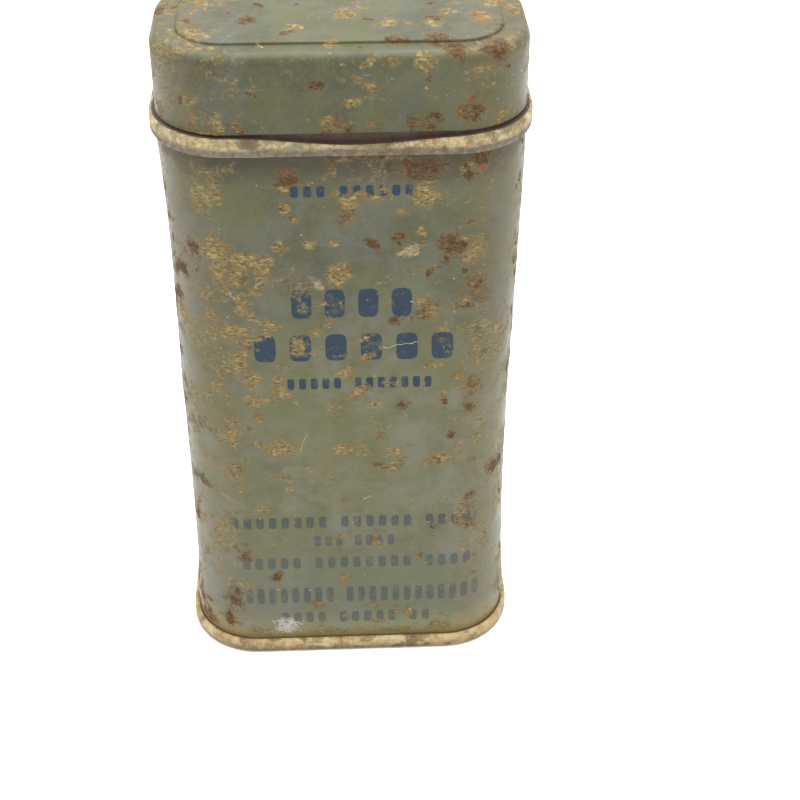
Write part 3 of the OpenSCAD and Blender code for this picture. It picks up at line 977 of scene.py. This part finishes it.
def neck_material():
    """The neck: its bead keeps scraps of worn paint and has painted shade on its lower side, and
    above it the sheet is bare and dark, with rust and painted shade in the gap.
    """
    n = Nodes("neck_worn_tinplate")
    _, _, z = n.xyz()
    _, cover, rust_colour, relief = crust(n)
    worn = n.noise(3.4, 5.0, 0.62, seed=18)
    small = n.noise(1.3, 6.0, 0.70, seed=19)
    tan = n.ramp(
        small,
        (0.32, lit(144, 122, 92)),
        (0.44, lit(190, 170, 128)),
        (0.56, lit(220, 202, 156)),
        (0.70, lit(236, 222, 186)),
    )
    paint = n.blend(small, lit(118, 118, 78), lit(152, 154, 116))
    bead = n.blend(n.times(n.step(worn, 0.46, 0.62), 0.8), tan, paint)
    orange = n.step(n.noise(1.5, 4.0, 0.6, seed=38), 0.58, 0.66)
    bead = n.blend(n.times(orange, 0.7), bead, lit(184, 132, 76))
    # Painted shade: the bead's lower side, below the crest, turns grey-violet.
    under = n.step(n.plus(z, n.times(n.centred(worn), 1.8)), CREST_Z - 1.3, CREST_Z - 2.1)
    mottle = n.step(n.noise(1.1, 5.0, 0.65, seed=35), 0.4, 0.62)
    grey = n.blend(mottle, lit(108, 96, 88), lit(140, 130, 120))
    bead = n.blend(n.times(under, 0.9), bead, grey)
    bead = n.blend(n.times(cover, 0.7), bead, rust_colour)
    dark = n.ramp(
        n.noise(3.5, 5.0, 0.62, seed=20, stretch=(1, 1, 0.5)),
        (0.32, srgb(56, 45, 34)),
        (0.46, srgb(78, 66, 50)),
        (0.58, srgb(96, 90, 76)),
        (0.72, srgb(114, 109, 94)),
    )
    # Rust and painted shade: darker browns in the gap just above the crest, under the lid's edge.
    crevice_rust_and_shade = n.step(n.plus(z, n.times(n.centred(worn), 3.0)), CREST_Z + 3.2, CREST_Z + 0.8)
    dark = n.blend(n.times(crevice_rust_and_shade, 0.8), dark, n.blend(small, srgb(44, 26, 21), srgb(74, 50, 40)))
    above = n.step(n.plus(n.painted("bare"), n.times(n.centred(worn), 0.5)), 0.3, 0.6)
    colour = n.blend(above, bead, dark)
    rough = n.plus(0.5, n.times(worn, 0.4))
    height = n.plus(relief, n.times(n.noise(0.9, 5.0, 0.65, seed=21), 0.14))
    return n.finish(colour, rough, height)


def bottom_material():
    """The bottom: a rusty gold rim with painted shade on its underside, and a tarnished panel."""
    n = Nodes("bottom_tinplate")
    x, _, z = n.xyz()
    _, cover, rust_colour, relief = crust(n)
    worn = n.noise(1.7, 6.0, 0.65, seed=22)
    gold = n.ramp(
        worn,
        (0.30, lit(196, 168, 122)),
        (0.43, lit(224, 197, 146)),
        (0.54, lit(239, 216, 167)),
        (0.68, lit(246, 230, 196)),
    )
    dark = n.ramp(
        worn,
        (0.32, lit(104, 96, 84)),
        (0.52, lit(150, 138, 116)),
        (0.72, lit(182, 166, 138)),
    )
    # Painted shade: the rim's lower part, below about 1 mm up, takes the darker colours; the gold
    # above is rust.
    rim = n.blend(n.step(n.plus(z, n.times(n.centred(worn), 1.6)), 0.5, 1.6), dark, gold)
    turned = n.step(n.math("ABSOLUTE", n.plus(x, n.times(n.centred(worn), 12.0))), 15.0, 22.0)
    rim = n.blend(n.times(turned, 0.55), rim, n.blend(worn, lit(176, 150, 118), lit(232, 208, 170)))
    orange = n.times(n.step(n.noise(3.0, 5.0, 0.62, seed=40), 0.48, 0.66), 0.65)
    rim = n.blend(orange, rim, n.blend(worn, lit(190, 144, 86), lit(236, 194, 130)))
    olive_scraps = n.times(n.step(n.noise(2.2, 5.0, 0.6, seed=41), 0.58, 0.66), 0.6)
    rim = n.blend(olive_scraps, rim, lit(164, 158, 114))
    rim = n.blend(n.times(cover, 0.75), rim, rust_colour)
    tin, tin_rough = bare_tin(n)
    rusty = n.step(n.noise(5.0, 6.0, 0.65, seed=23), 0.46, 0.58)
    panel = n.blend(rusty, tin, n.blend(0.4, rust_colour, srgb(92, 58, 36)))
    inner = n.painted("bare")
    colour = n.blend(inner, rim, panel)
    metal = n.times(inner, n.minus(0.8, n.times(rusty, 0.8)))
    rough = n.mix(inner, 0.85, n.plus(tin_rough, n.times(rusty, 0.3)))
    pits = n.noise(0.5, 4.0, 0.6, seed=24)
    height = n.plus(n.plus(relief, n.times(worn, 0.06)), n.times(pits, 0.04))
    return n.finish(colour, rough, height, metal=metal)


def solder_material():
    """Dull grey solder, gone rusty brown where it is thin."""
    n = Nodes("solder_dull")
    fill = n.noise(1.8, 5.0, 0.6, seed=25)
    stain = n.step(n.plus(n.painted("rust"), n.times(fill, 0.6)), 0.45, 0.8)
    grey = n.ramp(
        fill,
        (0.3, srgb(82, 78, 66)),
        (0.6, srgb(116, 111, 96)),
        (0.8, srgb(140, 134, 116)),
    )
    brown = n.ramp(fill, (0.3, srgb(64, 46, 34)), (0.7, srgb(116, 88, 62)))
    colour = n.blend(n.times(stain, 0.8), grey, brown)
    rough = n.plus(0.42, n.times(fill, 0.3))
    height = n.times(n.noise(0.7, 4.0, 0.6, seed=26), 0.08)
    return n.finish(colour, rough, height, metal=n.minus(0.85, n.times(stain, 0.7)))


def compound_material():
    """Seam lining: a rubbery film, dark amber, with fine pores."""
    n = Nodes("seam_lining")
    tone = n.noise(2.5, 4.0, 0.6, seed=27)
    colour = n.ramp(tone, (0.3, srgb(88, 60, 38)), (0.7, srgb(140, 104, 66)))
    pores = n.noise(0.35, 3.0, 0.6, seed=28)
    return n.finish(colour, n.plus(0.45, n.times(tone, 0.3)), n.times(pores, 0.03))


DISH_RIM_Z, DISH_FLOOR_Z = NECK_TOP + 0.1, NECK_TOP - 1.4  # of the sifter's dish


def sifter_material():
    """Tinplate dusted with powder that has caked in the dish, with tarnish round the holes."""
    n = Nodes("sifter_powdered_tin")
    _, _, z = n.xyz()
    tin, tin_rough = bare_tin(n)
    caked = n.noise(4.0, 6.0, 0.62, seed=29)
    level = n.step(z, DISH_RIM_Z, DISH_FLOOR_Z)
    powder = n.times(n.step(n.plus(caked, n.times(level, 0.14)), 0.46, 0.60), 0.85)
    white = n.blend(n.noise(1.2, 4.0, 0.6, seed=30), srgb(138, 133, 122), srgb(166, 162, 152))
    colour = n.blend(powder, tin, white)
    rough = n.mix(powder, tin_rough, 0.95)
    height = n.plus(n.times(powder, 0.05), n.times(n.noise(0.4, 4.0, 0.6, seed=31), 0.02))
    metal = n.times(n.minus(1.0, powder), 0.85)
    return n.finish(colour, rough, height, metal=metal)


def floor_material():
    n = Nodes("pale_floor")
    tone = n.noise(60.0, 4.0, 0.5, seed=32)
    colour = n.blend(tone, srgb(243, 243, 243), srgb(247, 247, 247))
    return n.finish(colour, 0.9)


# ---- The room ----


CAMERA_ANGLES = (35.5, 2.86, 0.29)  # degrees looking down, turned to the right, and rolled
CAMERA_PLACE = (-1.95, -228.8, 207.7)  # millimetres
LENS = 71.0
WORLD_STRENGTH = 1.15
OVERHEAD_PLACE = (0.0, 0.25, 1.1)  # metres
OVERHEAD_SIZE = 1.4
OVERHEAD_POWER = 34.0
FLOOR_HALF, FLOOR_ROWS = 3.0, 6
FLOOR_DROP = 0.0002  # keeps the floor clear of the bottom seam's crust


def camera():
    """Looks down at the front from a little to its left."""
    down, turn, roll = (math.radians(angle) for angle in CAMERA_ANGLES)
    level = Vector((math.sin(turn), math.cos(turn), 0.0)) * math.cos(down)
    forward = level - Vector((0.0, 0.0, math.sin(down)))
    right = Vector((math.cos(turn), -math.sin(turn), 0.0))
    up = right.cross(forward)
    right, up = (
        right * math.cos(roll) + up * math.sin(roll),
        up * math.cos(roll) - right * math.sin(roll),
    )
    data = bpy.data.cameras.new("camera")
    data.sensor_width = 36.0
    data.lens = LENS
    obj = bpy.data.objects.new("camera", data)
    turned = Matrix((right, up, -forward)).transposed().to_4x4()
    obj.matrix_world = Matrix.Translation(Vector(CAMERA_PLACE) * MM) @ turned
    bpy.context.scene.collection.objects.link(obj)
    bpy.context.scene.camera = obj


def overhead_light():
    """A wide soft light above and a little behind the tin, turned towards it."""
    data = bpy.data.lights.new("overhead", "AREA")
    data.shape = "RECTANGLE"
    data.size = data.size_y = OVERHEAD_SIZE
    data.energy = OVERHEAD_POWER
    obj = bpy.data.objects.new("overhead", data)
    obj.location = OVERHEAD_PLACE
    obj.rotation_euler = (-obj.location).to_track_quat("-Z", "Y").to_euler()
    bpy.context.scene.collection.objects.link(obj)


def room():
    """A white world, a pale floor and one overhead light."""
    world = bpy.data.worlds.new("white_room")
    world.use_nodes = True
    background = world.node_tree.nodes["Background"]
    background.inputs["Color"].default_value = (1.0, 1.0, 1.0, 1.0)
    background.inputs["Strength"].default_value = WORLD_STRENGTH
    bpy.context.scene.world = world
    mesh = bpy.data.meshes.new("floor")
    ticks = [-FLOOR_HALF + 2 * FLOOR_HALF * i / FLOOR_ROWS for i in range(FLOOR_ROWS + 1)]
    corners = [(x, y, 0) for y in ticks for x in ticks]
    row = len(ticks)
    starts = [j * row + i for j in range(FLOOR_ROWS) for i in range(FLOOR_ROWS)]
    quads = [(start, start + 1, start + row + 1, start + row) for start in starts]
    mesh.from_pydata(corners, [], quads)
    floor = bpy.data.objects.new("floor", mesh)
    floor.location.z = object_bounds()[0][2] - FLOOR_DROP
    mesh.materials.append(floor_material())
    bpy.context.scene.collection.objects.link(floor)
    overhead_light()
    bpy.context.scene.view_settings.view_transform = "Standard"
    bpy.context.scene.view_settings.look = "None"


# ---- Assembly ----


def side_patches(ring):
    """The body's rust: the front's own, random patches elsewhere, and runs up the corners."""
    patches = Patches(7)
    for x, z, rx, rz, tone in FRONT_RUST:
        patches.add(x, -HALF_D, z, rx * FRONT_RUST_SCALE, rz * FRONT_RUST_SCALE, tone)
    for middle, spread, low, high, count, browner in FRONT_SPECKLES:
        for _ in range(count):
            x = patches.random.gauss(middle, spread)
            z = patches.random.uniform(low, high)
            size = patches.random.uniform(0.3, 0.85)
            wide = patches.random.uniform(0.8, 1.5)
            tone = browner + patches.random.random() * 0.4
            if abs(x) < FRONT_EDGE:
                patches.add(x, -HALF_D, z, size * wide, size / wide, tone)
    patches.scatter(420, ring, 4.0, 100.0, 1.3, avoid_front=True)
    for side, y, count in ((1, -9.4, 34), (-1, -8.6, 30), (1, 9.0, 14), (-1, 9.0, 14)):
        for _ in range(count):
            high = patches.random.uniform(6.0, 100.0)
            tall = patches.random.uniform(0.5, 1.6)
            depth = y + patches.random.gauss(0, 0.5)
            tone = patches.random.uniform(0.4, 1.0)
            patches.add(side * CORNER_RUST_X, depth, high, 0.45, tall, tone)
    return patches


def lid_patches(ring):
    """The lid's rust: on its skirt, thickest along its lower edge, and on its top."""
    patches = Patches(21)
    patches.scatter(150, ring, LID_BOTTOM, LID_TOP, 0.8)
    patches.scatter(110, ring, LID_BOTTOM - 0.4, LID_BOTTOM + 1.4, 0.8)
    for _ in range(60):
        x = patches.random.uniform(-HALF_W, HALF_W) * 0.96
        y = patches.random.uniform(-HALF_D, HALF_D) * 0.96
        size = 0.4 + 1.5 * patches.random.random() ** 2
        patches.add(x, y, LID_TOP - 0.3, size, size, patches.random.random())
    return patches


def seam_patches(ring, z0, z1, seed):
    patches = Patches(seed)
    patches.scatter(110, ring, z0, z1, 1.0)
    return patches


def attach(obj, body, node, material):
    """Gives the piece its material, and says what it rides on and which CAD node it replaces."""
    obj.data.materials.append(material)
    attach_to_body(obj, body)
    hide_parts(node)


camera()
room()

ring = plan_ring(PATCH_RING_STEP)
paint = paint_material("olive_paint_printed", True)
lid_paint = paint_material("olive_paint_lid", False)
lining = compound_material()

attach(body_piece(side_patches(ring)), "tin", "body_shell", paint)
attach(solder_piece(), "tin", "side_seam_solder", solder_material())
neck = neck_piece(seam_patches(ring, TOP_SEAM_Z, CREST_Z, 31))
attach(neck, "tin", "neck_ring", neck_material())
bottom = bottom_piece(seam_patches(ring, 0, BOTTOM_SEAM_H, 41))
attach(bottom, "tin", "bottom_end", bottom_material())
attach(compound_piece("top_seam_lining", True), "tin", "top_seam_compound", lining)
bottom_lining = compound_piece("bottom_seam_lining", False)
attach(bottom_lining, "tin", "bottom_seam_compound", lining)
attach(lid_piece(lid_patches(ring)), "lid", "lid", lid_paint)

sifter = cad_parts["sifter_plate"]
sifter.data.materials.clear()
sifter.data.materials.append(sifter_material())
